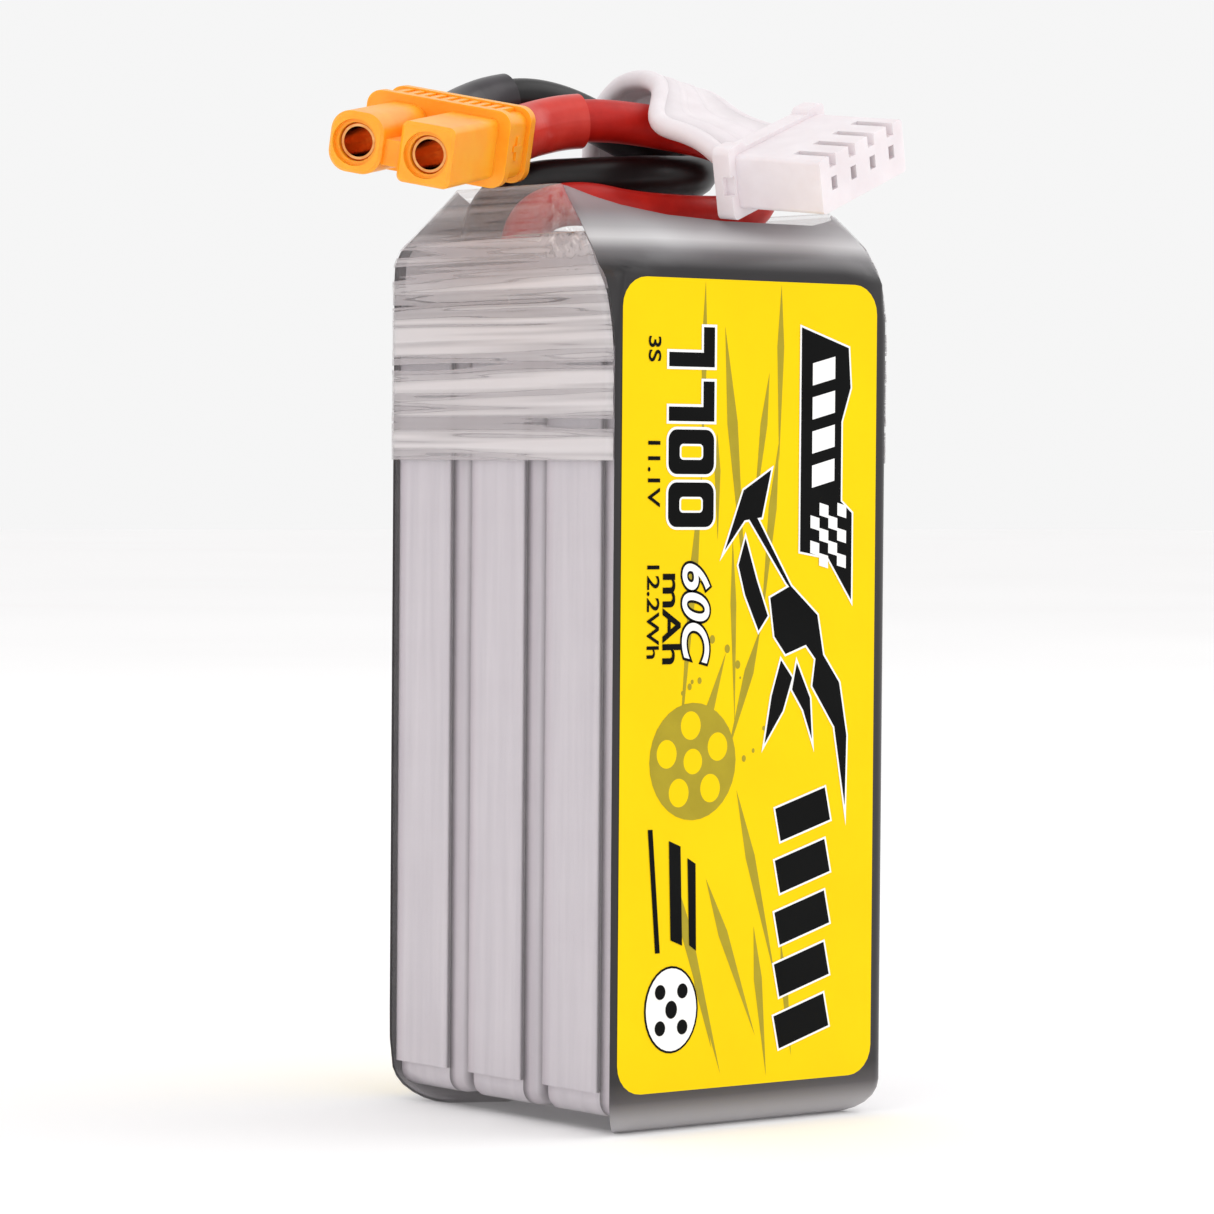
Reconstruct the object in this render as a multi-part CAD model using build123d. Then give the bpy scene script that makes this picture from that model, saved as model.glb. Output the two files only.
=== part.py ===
from build123d import *
import math
import os

# Three-cell lithium polymer pack: folded-edge pouch cells in a printed shrink sleeve,
# a power plug on two stranded leads and a four-way balance plug on ribbon wire.
# Millimetres. Z is up, X runs across the label, the label faces -Y,
# and the origin is the middle of the base.

# ---- driving dimensions ----
SLEEVE_HALF_X = 12.1
SLEEVE_HALF_Y = 12.6
SLEEVE_WALL = 0.25
SLEEVE_CORNER = 1.0
SLEEVE_SHOULDER_Z = 58.0
SLEEVE_TOP_Z = 62.9
RIM_HALF_X = 11.6
RIM_HALF_Y = 7.0
BASE_OPENING = (12.0, 13.0)

CELL_PITCH = 8.3
CELL_THICK = 7.9
CUP_WIDTH = 22.5
CUP_DEPTH = 7.2
CUP_ROUND = 1.2
CUP_BASE_Z = 1.1
CUP_TOP_Z = 52.0
POUCH_WALL = 0.25
FLAP_WIDTH = 6.25
FLAP_THICK = 0.35
FLAP_EDGE_ROUND = 0.25
FOLD_ROUND = 0.8
FLAP_BASE_Z = 2.8
FLAP_TOP_Z = 51.6
SEAL_TOP_Z = 55.3
TAB_X = 6.0
TAB_WIDTH = 5.0
TAB_THICK = 0.22
TAB_TOP_Z = 55.6
LINK_THICK = 0.2
LINK_OVERHANG = 0.45
PAD_THICK = 0.3

BOARD_SIZE = (21.0, 22.0, 1.0)
BOARD_BASE_Z = 55.9
JOINT_TOP_Z = 58.2
INSULATOR_SIZE = (23.2, 24.4)
INSULATOR_BASE_Z = 55.9
INSULATOR_TOP_Z = 59.6
INSULATOR_ROOF = 1.2
INSULATOR_WALL = 0.5

LABEL_X = (-11.41, 10.77)
LABEL_Z = (2.75, 56.6)
LABEL_CORNER = 2.0
LABEL_THICK = 0.06
WRAP_BASE_Z = 44.5
WRAP_TOP_Z = 57.9
WRAP_THICK = 0.09
FILM_GAP = 0.01

LEAD_RADIUS = 1.5
WIRE_RADIUS = 0.69
SHRINK_RADIUS = 1.9
SHRINK_BORE = 1.53

# Power plug: front face centre, direction towards the mate, direction across the sockets.
PLUG_FRONT = (-24.05, -4.0, 64.66)
PLUG_MATE = (-0.8305, -0.5405, -0.1432)
PLUG_ACROSS = (0.5565, -0.8107, -0.1816)
BARREL_LENGTH = 8.5
BARREL_WIDTH = 8.6
BARREL_HEIGHT = 4.03
COLLAR_LENGTH = 5.0
COLLAR_WIDTH = 10.3
COLLAR_HEIGHT = 5.2
SOCKET_PITCH = 5.0
SOCKET_RADIUS = 1.25
SOCKET_BORE = 1.0
SOCKET_DEPTH = 7.0
SOCKET_RECESS = 0.7
CUP_STICKOUT = 2.2

# Balance plug: rear lower corner, direction along the row, direction towards the mate.
ROW_CORNER = (-0.77, -9.5, 60.71)
ROW_ALONG = (0.9079, 0.2652, 0.3244)
ROW_MATE = (0.3075, -0.9464, -0.0869)
ROW_PITCH = 2.5
ROW_FIRST = 2.45
ROW_WIRE_HEIGHT = 2.9
ROW_PIN_HEIGHT = 2.45
FLANGE_SIZE = (12.4, 4.64, 1.3)
EAR_HEIGHT = 4.98
SHELL_SIZE = (10.84, 3.7, 7.9)

# ---- routes of the leads and wires, from the board to the plug ----
RED_ROUTE = [
    (-8.4, 2.4, 58.2), (-8.3, 2.3, 59.9), (-7.5, 1.9, 61.3), (-6.0, 1.2, 62.0), (-4.0, 0.4, 62.1),
    (-1.6, -0.5, 61.6), (1.4, -1.4, 61.4), (4.6, -1.9, 61.4), (7.5, -1.95, 61.6), (9.4, -1.5, 62.7),
    (10.1, -0.8, 64.4), (9.5, 0.0, 66.0), (7.6, 0.6, 67.0), (4.9, 1.4, 67.5), (1.8, 2.3, 67.9),
    (-1.2, 3.1, 68.1), (-4.0, 3.8, 67.8), (-6.4, 4.1, 67.2), (-8.22, 3.37, 66.7), (-9.63, 2.45, 66.46),
]
BLACK_ROUTE = [
    (-9.4, 5.6, 58.2), (-9.3, 5.5, 60.1), (-8.8, 5.3, 61.7), (-7.5, 5.0, 63.0), (-5.5, 4.4, 63.7),
    (-3.0, 3.5, 63.9), (-0.2, 2.7, 64.1), (2.4, 2.5, 64.3), (5.2, 2.7, 64.4), (7.2, 3.0, 64.5),
    (8.6, 4.2, 64.9), (8.8, 5.7, 65.5), (7.7, 7.0, 66.2), (5.4, 7.5, 67.1), (2.5, 7.8, 68.3),
    (-0.5, 8.2, 69.4), (-3.4, 8.7, 69.8), (-6.2, 9.0, 69.3), (-8.7, 8.7, 68.4), (-10.5, 7.76, 67.67),
    (-12.42, 6.51, 67.34),
]
WIRE_ROUTE_NEAR = [
    (2.6, 7.3, 58.2), (2.7, 7.8, 60.6), (3.1, 9.0, 63.4), (3.8, 10.3, 66.2), (4.6, 10.6, 69.1),
    (4.7, 8.5, 71.0), (4.3, 5.6, 71.4), (3.8, 2.9, 71.0), (2.7, 0.9, 70.1), (1.1, -0.8, 69.0),
    (-0.4, -2.4, 67.9), (-1.1, -4.1, 67.2), (-0.7, -5.6, 66.8), (-0.1, -6.9, 66.2), (0.3, -8.2, 65.2),
    (0.66, -9.42, 64.23),
]
WIRE_ROUTE_FAR = [
    (6.9, 7.3, 58.2), (7.1, 7.9, 60.6), (7.7, 9.0, 63.3), (8.6, 10.1, 66.0), (9.3, 10.0, 68.7),
    (9.2, 8.0, 70.2), (8.7, 5.4, 70.4), (8.1, 3.0, 70.1), (7.4, 1.0, 69.6), (6.8, -0.7, 69.0),
    (6.3, -2.3, 68.4), (6.2, -3.8, 67.8), (6.4, -5.0, 67.4), (6.8, -5.9, 67.1), (7.1, -6.6, 66.9),
    (7.48, -7.43, 66.63),
]

os.makedirs("parts", exist_ok=True)


def save(part, name):
    export_step(Part(children=part.solids()) if len(part.solids()) > 1 else part.solid(),
                f"parts/{name}.step")


def block(x, y, z):
    """A box from its lowest and highest coordinate on each axis."""
    centre = ((x[0] + x[1]) / 2, (y[0] + y[1]) / 2, (z[0] + z[1]) / 2)
    return Pos(*centre) * Box(x[1] - x[0], y[1] - y[0], z[1] - z[0])


def corner_radii(route):
    """The largest arc at each corner that its two runs allow."""
    radii = []
    for before, corner, after in zip(route, route[1:], route[2:]):
        run_in = Vector(*corner) - Vector(*before)
        run_out = Vector(*after) - Vector(*corner)
        turn = math.radians(run_in.get_angle(run_out))
        radii.append(0.45 * min(run_in.length, run_out.length) / math.tan(turn / 2))
    return radii


def tube(route, radius, radii=None):
    """A round bar along straight runs that are joined by tangent arcs."""
    path = FilletPolyline(*route, radius=radii or corner_radii(route))
    section = Plane(path @ 0, z_dir=path % 0) * Circle(radius)
    return sweep(section, path=path)


def between(first, second, share):
    return tuple(a + (b - a) * share for a, b in zip(first, second))


# ---- shrink sleeve and the second, clear wrap on its sides ----
def film_block(stations, corner):
    """A solid through rounded rectangles, each given as height, half width and half depth."""
    outlines = [Pos(0, 0, z) * RectangleRounded(2 * x, 2 * y, corner) for z, x, y in stations]
    slabs = [loft([low, high]) for low, high in zip(outlines, outlines[1:])]
    return slabs[0].fuse(*slabs[1:])


def sleeve_stations(inset, base_z, top_z):
    """The sleeve's stations from its rounded base to its sloping shoulders."""
    half_x = SLEEVE_HALF_X - inset
    half_y = SLEEVE_HALF_Y - inset
    stations = [(base_z + rise, half_x - step, half_y - step)
                for rise, step in ((0.0, 1.9), (0.35, 0.9), (1.1, 0.25), (2.3, 0.0))]
    shoulder = (SLEEVE_SHOULDER_Z, half_x, half_y)
    rim = (SLEEVE_TOP_Z, RIM_HALF_X - inset, RIM_HALF_Y - inset)
    stations += [shoulder, (59.4, half_x - 0.1, half_y - 1.0), rim]
    if top_z > SLEEVE_TOP_Z:
        stations.append((top_z, RIM_HALF_X - inset, RIM_HALF_Y - inset))
    return stations


def shrink_sleeve():
    outside = film_block(sleeve_stations(0, 0, SLEEVE_TOP_Z), SLEEVE_CORNER)
    inside = film_block(sleeve_stations(SLEEVE_WALL, SLEEVE_WALL, SLEEVE_TOP_Z + 0.5),
                        SLEEVE_CORNER - SLEEVE_WALL)
    opening = block((-BASE_OPENING[0] / 2, BASE_OPENING[0] / 2),
                    (-BASE_OPENING[1] / 2, BASE_OPENING[1] / 2), (-1, 1))
    scoop = Polygon((-9.5, 64), (-5.5, 61.7), (-1.8, 60.4), (10.2, 60.4), (10.8, 64), align=None)
    scoop = extrude(Plane.XZ * scoop, amount=20, both=True)
    return outside - inside - opening - scoop


save(shrink_sleeve(), "shrink_sleeve")
for side, name in ((-1, "upper_wrap_left"), (1, "upper_wrap_right")):
    inner_x = SLEEVE_HALF_X + FILM_GAP
    wrap = block((inner_x, inner_x + WRAP_THICK),
                 (-SLEEVE_HALF_Y + SLEEVE_CORNER, SLEEVE_HALF_Y - SLEEVE_CORNER),
                 (WRAP_BASE_Z, WRAP_TOP_Z))
    save(wrap if side > 0 else mirror(wrap, about=Plane.YZ), name)

# ---- labels ----
label_outline = Pos(sum(LABEL_X) / 2, sum(LABEL_Z) / 2) * RectangleRounded(
    LABEL_X[1] - LABEL_X[0], LABEL_Z[1] - LABEL_Z[0], LABEL_CORNER)
front_label = Pos(0, -SLEEVE_HALF_Y - FILM_GAP, 0) * extrude(Plane.XZ * label_outline, amount=LABEL_THICK)
save(front_label, "front_label")
save(Rot(0, 0, 180) * front_label, "back_label")


# ---- pouch cells ----
def pouch_cup(y):
    """The drawn half of the pouch, open towards +Y."""
    front = y - CELL_THICK / 2
    cup = block((-CUP_WIDTH / 2, CUP_WIDTH / 2), (front, front + CUP_DEPTH), (CUP_BASE_Z, CUP_TOP_Z))
    cup = fillet(cup.edges().filter_by(Axis.Z).group_by(Axis.Y)[0], CUP_ROUND)
    cup = fillet(cup.edges().group_by(Axis.Z)[0].sort_by(Axis.Y)[:-1], CUP_ROUND - 0.01)
    reach = CUP_WIDTH / 2 - POUCH_WALL
    return cup - block((-reach, reach), (front + POUCH_WALL + 0.4, front + CUP_DEPTH + 1),
                       (CUP_BASE_Z + 1.3, CUP_TOP_Z - POUCH_WALL))


def pouch_cover(y):
    """The flat half of the pouch, its side seals folded round over the cup's side walls."""
    back = y + CELL_THICK / 2
    reach = CUP_WIDTH / 2 + 0.05
    outside = block((-reach - FLAP_THICK, reach + FLAP_THICK), (back - FLAP_WIDTH, back),
                    (FLAP_BASE_Z, FLAP_TOP_Z))
    outside = fillet(outside.edges().filter_by(Axis.Z).group_by(Axis.Y)[-1], FOLD_ROUND)
    outside = fillet(outside.edges().filter_by(Axis.Z).group_by(Axis.Y)[0], FLAP_EDGE_ROUND)
    inside = block((-reach, reach), (back - FLAP_WIDTH - 1, back - POUCH_WALL), (FLAP_BASE_Z - 1, FLAP_TOP_Z + 1))
    inside = fillet(inside.edges().filter_by(Axis.Z).group_by(Axis.Y)[-1], FOLD_ROUND - 0.3)
    seal = block((-reach, reach), (back - POUCH_WALL, back), (FLAP_TOP_Z - 1, SEAL_TOP_Z))
    return outside - inside + seal


def electrode_stack(y):
    front = y - CELL_THICK / 2 + POUCH_WALL + 0.45
    return block((-10.6, 10.6), (front, y + 3.1), (CUP_BASE_Z + 1.4, CUP_TOP_Z - 1.5))


def cell_tab(x, y):
    plane_y = y + CELL_THICK / 2 - POUCH_WALL - 0.07
    return block((x - TAB_WIDTH / 2, x + TAB_WIDTH / 2), (plane_y - TAB_THICK, plane_y),
                 (CUP_TOP_Z - 1.6, TAB_TOP_Z))


cell_ys = [-CELL_PITCH, 0, CELL_PITCH]
for number, y in enumerate(cell_ys, start=1):
    positive_x = -TAB_X if number % 2 else TAB_X
    save(pouch_cup(y), f"cell_{number}_cup")
    save(pouch_cover(y), f"cell_{number}_cover")
    save(electrode_stack(y), f"cell_{number}_electrode_stack")
    save(cell_tab(positive_x, y), f"cell_{number}_positive_tab")
    save(cell_tab(-positive_x, y), f"cell_{number}_negative_tab")

for number, y in enumerate(cell_ys[:-1], start=1):
    pad_y = y + CELL_PITCH / 2
    save(block((-10, 10), (pad_y - PAD_THICK / 2, pad_y + PAD_THICK / 2), (4, 50)), f"cell_pad_{number}")
    tab_y = y + CELL_THICK / 2 - POUCH_WALL - 0.07 - TAB_THICK
    link_x = TAB_X if number % 2 else -TAB_X
    link_z = (TAB_TOP_Z + 0.02, TAB_TOP_Z + 0.02 + LINK_THICK)
    link = block((link_x - TAB_WIDTH / 2, link_x + TAB_WIDTH / 2),
                 (tab_y - LINK_OVERHANG, tab_y + CELL_PITCH + TAB_THICK + LINK_OVERHANG - 0.2), link_z)
    save(fillet(link.edges().filter_by(Axis.Z), 0.6), f"series_link_{number}")

# ---- balance board, its solder joints and the insulator cap over it ----
board_top = BOARD_BASE_Z + BOARD_SIZE[2]
board = Pos(0, 0, BOARD_BASE_Z + BOARD_SIZE[2] / 2) * Box(*BOARD_SIZE)
save(fillet(board.edges().filter_by(Axis.Z), 1.0), "balance_board")

wire_starts = [between(WIRE_ROUTE_NEAR[0], WIRE_ROUTE_FAR[0], n / 3) for n in range(4)]
lead_joint = Cone(LEAD_RADIUS + 0.1, LEAD_RADIUS, JOINT_TOP_Z - board_top)
wire_joint = Cone(WIRE_RADIUS + 0.02, WIRE_RADIUS - 0.1, JOINT_TOP_Z - board_top)
middle_z = (board_top + JOINT_TOP_Z) / 2
joints = [Pos(start[0], start[1], middle_z) * lead_joint for start in (RED_ROUTE[0], BLACK_ROUTE[0])]
joints += [Pos(start[0], start[1], middle_z) * wire_joint for start in wire_starts]
export_step(Compound(children=joints), "parts/board_solder_joints.step")

cap_half_y = INSULATOR_SIZE[1] / 2
cap_profile = Polygon((-cap_half_y, INSULATOR_BASE_Z), (cap_half_y, INSULATOR_BASE_Z),
                      (cap_half_y, INSULATOR_TOP_Z - 1.7), (cap_half_y - 1.2, INSULATOR_TOP_Z),
                      (1.2 - cap_half_y, INSULATOR_TOP_Z), (-cap_half_y, INSULATOR_TOP_Z - 1.7), align=None)
cap = extrude(Plane.YZ * cap_profile, amount=INSULATOR_SIZE[0] / 2, both=True)
cap = fillet(cap.edges().filter_by(Axis.Z), 0.7)
cap -= block((-INSULATOR_SIZE[0] / 2 + INSULATOR_WALL, INSULATOR_SIZE[0] / 2 - INSULATOR_WALL),
             (-INSULATOR_SIZE[1] / 2 + INSULATOR_WALL, INSULATOR_SIZE[1] / 2 - INSULATOR_WALL),
             (INSULATOR_BASE_Z - 1, INSULATOR_TOP_Z - INSULATOR_ROOF))
for start in (RED_ROUTE[0], BLACK_ROUTE[0]):
    cap -= Pos(start[0], start[1], INSULATOR_TOP_Z) * Cylinder(LEAD_RADIUS + 0.25, 4)
wire_reach = WIRE_RADIUS + 0.2
cap -= block((wire_starts[0][0] - wire_reach, wire_starts[3][0] + wire_reach + 0.2),
             (wire_starts[0][1] - wire_reach, wire_starts[0][1] + wire_reach + 0.4),
             (INSULATOR_TOP_Z - 2, INSULATOR_TOP_Z + 1))
save(cap, "top_insulator")
tape = block((-11.0, -4.6), (-7.5, 0.2), (INSULATOR_TOP_Z + 0.01, INSULATOR_TOP_Z + 0.09))
save(fillet(tape.edges().filter_by(Axis.Z), 0.5), "insulation_tape")

# ---- power plug ----
plug_place = Plane(origin=PLUG_FRONT, x_dir=PLUG_ACROSS, z_dir=PLUG_MATE).location
plug_length = BARREL_LENGTH + COLLAR_LENGTH
socket_xs = (SOCKET_PITCH / 2, -SOCKET_PITCH / 2)


def power_plug_housing():
    """Two barrels joined by a web, in front of a ribbed collar. Local +Z is towards the mate."""
    half = BARREL_WIDTH / 2
    barrel_z = (-BARREL_LENGTH, 0)
    square = block((0.6, half), (-BARREL_HEIGHT / 2, BARREL_HEIGHT / 2), barrel_z)
    square = fillet(square.edges().filter_by(Axis.Z), 0.45)
    round_side = block((-half, -0.6), (-BARREL_HEIGHT / 2, BARREL_HEIGHT / 2), barrel_z)
    round_side = fillet(round_side.edges().filter_by(Axis.Z), 1.35)
    web = block((-1.2, 1.2), (-1.2, 0.5), (-BARREL_LENGTH, -0.6))
    body = square + round_side + web
    body = chamfer(body.edges().group_by(Axis.Z)[-1], 0.2)
    rim = 0.9
    for rim_z in (-BARREL_LENGTH - rim, -plug_length):
        plate = block((-COLLAR_WIDTH / 2, COLLAR_WIDTH / 2), (-COLLAR_HEIGHT / 2, COLLAR_HEIGHT / 2),
                      (rim_z, rim_z + rim))
        body += fillet(plate.edges().filter_by(Axis.Z), 1.0)
    waist = block((-COLLAR_WIDTH / 2 + 0.3, COLLAR_WIDTH / 2 - 0.3),
                  (-COLLAR_HEIGHT / 2 + 0.35, COLLAR_HEIGHT / 2 - 0.35), (-plug_length, -BARREL_LENGTH))
    body += fillet(waist.edges().filter_by(Axis.Z), 0.8)
    rib_pitch = 0.8
    for number in range(10):
        rib_x = (number - 4.5) * rib_pitch
        body += block((rib_x - 0.2, rib_x + 0.2), (-COLLAR_HEIGHT / 2 + 0.1, COLLAR_HEIGHT / 2 - 0.1),
                      (-plug_length + rim, -BARREL_LENGTH - rim))
    plus_x = COLLAR_WIDTH / 2 - 0.3
    body += block((plus_x - 0.1, plus_x + 0.15), (-0.8, 0.8), (-11.2, -10.8))
    body += block((plus_x - 0.1, plus_x + 0.15), (-0.2, 0.2), (-11.8, -10.2))
    for x in socket_xs:
        body -= Pos(x, 0, -plug_length / 2) * Cylinder(SOCKET_RADIUS + 0.03, plug_length + 1)
        body -= Pos(x, 0, 0) * Cylinder(1.55, 2 * 0.45)
    return body


def power_contact():
    """Turned socket: a bored front for the pin and a solid rear that the lead is soldered to."""
    rear = -plug_length - CUP_STICKOUT
    front = -SOCKET_RECESS
    contact = Pos(0, 0, (rear + front) / 2) * Cylinder(SOCKET_RADIUS, front - rear)
    contact = chamfer(contact.edges().group_by(Axis.Z)[-1], 0.08)
    return contact - Pos(0, 0, front - SOCKET_DEPTH / 2 + 0.5) * Cylinder(SOCKET_BORE, SOCKET_DEPTH + 1)


save(plug_place * power_plug_housing(), "power_plug_housing")
for x, name in zip(socket_xs, ("power_contact_positive", "power_contact_negative")):
    save(plug_place * (Pos(x, 0, 0) * power_contact()), name)

# ---- balance plug ----
row_place = Plane(origin=ROW_CORNER, x_dir=ROW_ALONG, z_dir=ROW_MATE).location
pin_xs = [ROW_FIRST + ROW_PITCH * n for n in range(4)]


def balance_plug_housing():
    """A row housing with a rear flange. Local X runs along the row, Y is up, Z is towards the mate."""
    shell_x = (FLANGE_SIZE[0] - SHELL_SIZE[0]) / 2
    shell_y = 0.65
    shell = block((shell_x, shell_x + SHELL_SIZE[0]), (shell_y, shell_y + SHELL_SIZE[1]), (0, SHELL_SIZE[2]))
    shell = fillet(shell.edges().filter_by(Axis.Z), 0.3)
    flange = block((0, FLANGE_SIZE[0]), (0, FLANGE_SIZE[1]), (0, FLANGE_SIZE[2]))
    flange = fillet(flange.edges().filter_by(Axis.Z), 0.5)
    for ear_x in (0.0, FLANGE_SIZE[0] - 2.2):
        ear = block((ear_x, ear_x + 2.2), (2, EAR_HEIGHT), (0, FLANGE_SIZE[2]))
        flange += fillet(ear.edges().filter_by(Axis.Z), 0.5)
    for notch_x in (0.0, FLANGE_SIZE[0]):
        flange -= Pos(notch_x, 2.4, FLANGE_SIZE[2]) * Box(0.9, 1.3, 1.3)
    rib = block((3.2, 9.2), (0.15, shell_y + 0.1), (1.0, 6.6))
    body = shell + flange + rib
    for x in pin_xs:
        body -= block((x - 0.43, x + 0.43), (shell_y + SHELL_SIZE[1] - 0.8, 6), (SHELL_SIZE[2] - 2.8, 9))
        body -= block((x - 0.8, x + 0.8), (1.7, 3.8), (-1, SHELL_SIZE[2] - 0.9))
        body -= block((x - 0.35, x + 0.35), (ROW_PIN_HEIGHT - 0.45, ROW_PIN_HEIGHT + 0.45), (5, 9))
    return body


def balance_contact(x):
    """A folded terminal with a square bore for the pin."""
    terminal = block((x - 0.7, x + 0.7), (ROW_PIN_HEIGHT - 0.65, ROW_WIRE_HEIGHT + 0.7), (0.1, 6.6))
    return terminal - block((x - 0.34, x + 0.34), (ROW_PIN_HEIGHT - 0.34, ROW_PIN_HEIGHT + 0.34), (2.5, 7))


save(row_place * balance_plug_housing(), "balance_plug_housing")
contacts = [row_place * balance_contact(x) for x in pin_xs]
export_step(Compound(children=[contact.solid() for contact in contacts]),
            "parts/balance_plug_contacts.step")

# ---- leads, their shrink tubes and the balance wires ----
SHRINK_CORNERS = 3
collar_rear = Vector(*PLUG_FRONT) - Vector(*PLUG_MATE) * (plug_length + 0.05)
for route, x, name in ((RED_ROUTE, socket_xs[0], "red"), (BLACK_ROUTE, socket_xs[1], "black")):
    save(tube(route, LEAD_RADIUS), f"{name}_lead")
    radii = corner_radii(route)[-SHRINK_CORNERS:]
    far_end = between(route[-SHRINK_CORNERS - 1], route[-SHRINK_CORNERS - 2], 0.5)
    plug_end = tuple(collar_rear + Vector(*PLUG_ACROSS) * x)
    shrink_route = [far_end] + route[-SHRINK_CORNERS - 1:-1] + [plug_end]
    shrink = tube(shrink_route, SHRINK_RADIUS, radii) - tube(shrink_route, SHRINK_BORE, radii)
    save(shrink, f"{name}_lead_shrink")

for number in range(4):
    route = [between(near, far, number / 3) for near, far in zip(WIRE_ROUTE_NEAR, WIRE_ROUTE_FAR)]
    save(tube(route, WIRE_RADIUS), f"balance_wire_{number + 1}")
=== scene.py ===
import math

import bpy
from mathutils import Matrix, Vector, noise


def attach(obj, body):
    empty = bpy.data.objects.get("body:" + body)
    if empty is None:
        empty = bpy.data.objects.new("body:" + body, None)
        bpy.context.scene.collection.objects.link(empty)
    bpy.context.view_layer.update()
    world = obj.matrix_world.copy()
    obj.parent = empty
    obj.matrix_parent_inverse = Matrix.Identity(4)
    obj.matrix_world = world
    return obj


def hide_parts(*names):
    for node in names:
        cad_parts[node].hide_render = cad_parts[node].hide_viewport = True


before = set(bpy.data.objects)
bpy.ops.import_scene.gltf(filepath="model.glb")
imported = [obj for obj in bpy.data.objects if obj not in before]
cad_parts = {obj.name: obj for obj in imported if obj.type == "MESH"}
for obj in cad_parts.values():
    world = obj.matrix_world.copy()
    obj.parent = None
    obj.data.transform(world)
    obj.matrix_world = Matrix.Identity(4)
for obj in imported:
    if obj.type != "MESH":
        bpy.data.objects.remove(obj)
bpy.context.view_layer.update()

# ---- View ----
# The pack stands upright, seen nearly level from the corner between its cell edges and its label.
# A long lens far off keeps the edges nearly parallel.
MM = 0.001
LENS_MM = 143.82
SENSOR_MM = 36
NEAR_CLIP = 0.01
CAMERA_PLACE = (-209.5, -260.65, 43.3)
AZIMUTH, PITCH, ROLL = math.radians(-38.45), math.radians(1.514), math.radians(0.445)

towards_lens = Vector((
    math.sin(AZIMUTH) * math.cos(PITCH), -math.cos(AZIMUTH) * math.cos(PITCH), math.sin(PITCH)))
level_right = Vector((math.cos(AZIMUTH), math.sin(AZIMUTH), 0))
level_up = towards_lens.cross(level_right)
picture_right = level_right * math.cos(ROLL) + level_up * math.sin(ROLL)
picture_up = level_up * math.cos(ROLL) - level_right * math.sin(ROLL)
turn = Matrix((picture_right, picture_up, towards_lens)).transposed().to_4x4()
bpy.ops.object.camera_add()
camera = bpy.context.object
camera.data.lens = LENS_MM
camera.data.sensor_width = SENSOR_MM
camera.data.clip_start = NEAR_CLIP
camera.matrix_world = Matrix.Translation(Vector(CAMERA_PLACE) * MM) @ turn
bpy.context.scene.camera = camera

# ---- Power leads ----
# Two fine-stranded leads in soft silicone. They leave the insulator at the left, run across the
# top, turn back in tight loops and come home into the power plug's solder cups.
LEAD_DIAMETER = 3.0
RED_ROUTE = [
    (-8.4, 2.4, 58.2), (-8.3, 2.3, 59.9), (-7.5, 1.9, 61.3), (-6.0, 1.2, 62.0), (-4.0, 0.4, 62.1),
    (-1.6, -0.5, 61.6), (1.4, -1.4, 61.4), (4.6, -1.9, 61.4), (7.5, -1.95, 61.6), (9.4, -1.5, 62.7),
    (10.1, -0.8, 64.4), (9.5, 0.0, 66.0), (7.6, 0.6, 67.0), (4.9, 1.4, 67.5), (1.8, 2.3, 67.9),
    (-1.2, 3.1, 68.1), (-4.0, 3.8, 67.8), (-6.4, 4.1, 67.2), (-8.22, 3.37, 66.7), (-9.63, 2.45, 66.46),
]
BLACK_ROUTE = [
    (-9.4, 5.6, 58.2), (-9.3, 5.5, 60.1), (-8.8, 5.3, 61.7), (-7.5, 5.0, 63.0), (-5.5, 4.4, 63.7),
    (-3.0, 3.5, 63.9), (-0.2, 2.7, 64.1), (2.4, 2.5, 64.3), (5.2, 2.7, 64.4), (7.2, 3.0, 64.5),
    (8.6, 4.2, 64.9), (8.8, 5.7, 65.5), (7.7, 7.0, 66.2), (5.4, 7.5, 67.1), (2.5, 7.8, 68.3),
    (-0.5, 8.2, 69.4), (-3.4, 8.7, 69.8), (-6.2, 9.0, 69.3), (-8.7, 8.7, 68.4), (-10.5, 7.76, 67.67),
    (-12.42, 6.51, 67.34),
]


def linear(code):
    """Linear colour from an sRGB hex value."""
    levels = [int(code[i:i + 2], 16) / 255 for i in (1, 3, 5)]
    return tuple(
        c / 12.92 if c <= 0.04045 else ((c + 0.055) / 1.055) ** 2.4 for c in levels) + (1.0,)


def add_node(tree, kind, settings=None, sockets=None):
    """Adds a node, with its settings, and its sockets as values or as links from other nodes."""
    made = tree.nodes.new(kind)
    for name, value in (settings or {}).items():
        setattr(made, name, value)
    for name, value in (sockets or {}).items():
        if isinstance(value, bpy.types.NodeSocket):
            tree.links.new(value, made.inputs[name])
        else:
            made.inputs[name].default_value = value
    return made


def finish_of(name, **sockets):
    """A material with a bare Principled shader, and the object coordinates its pattern reads."""
    made = bpy.data.materials.new(name)
    made.use_nodes = True
    tree = made.node_tree
    tree.nodes.clear()
    shader = add_node(tree, "ShaderNodeBsdfPrincipled")
    for socket, value in sockets.items():
        shader.inputs[socket.replace("_", " ")].default_value = value
    add_node(tree, "ShaderNodeOutputMaterial", {}, {"Surface": shader.outputs[0]})
    place = add_node(tree, "ShaderNodeTexCoord").outputs["Object"]
    return made, tree, shader, place


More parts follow.
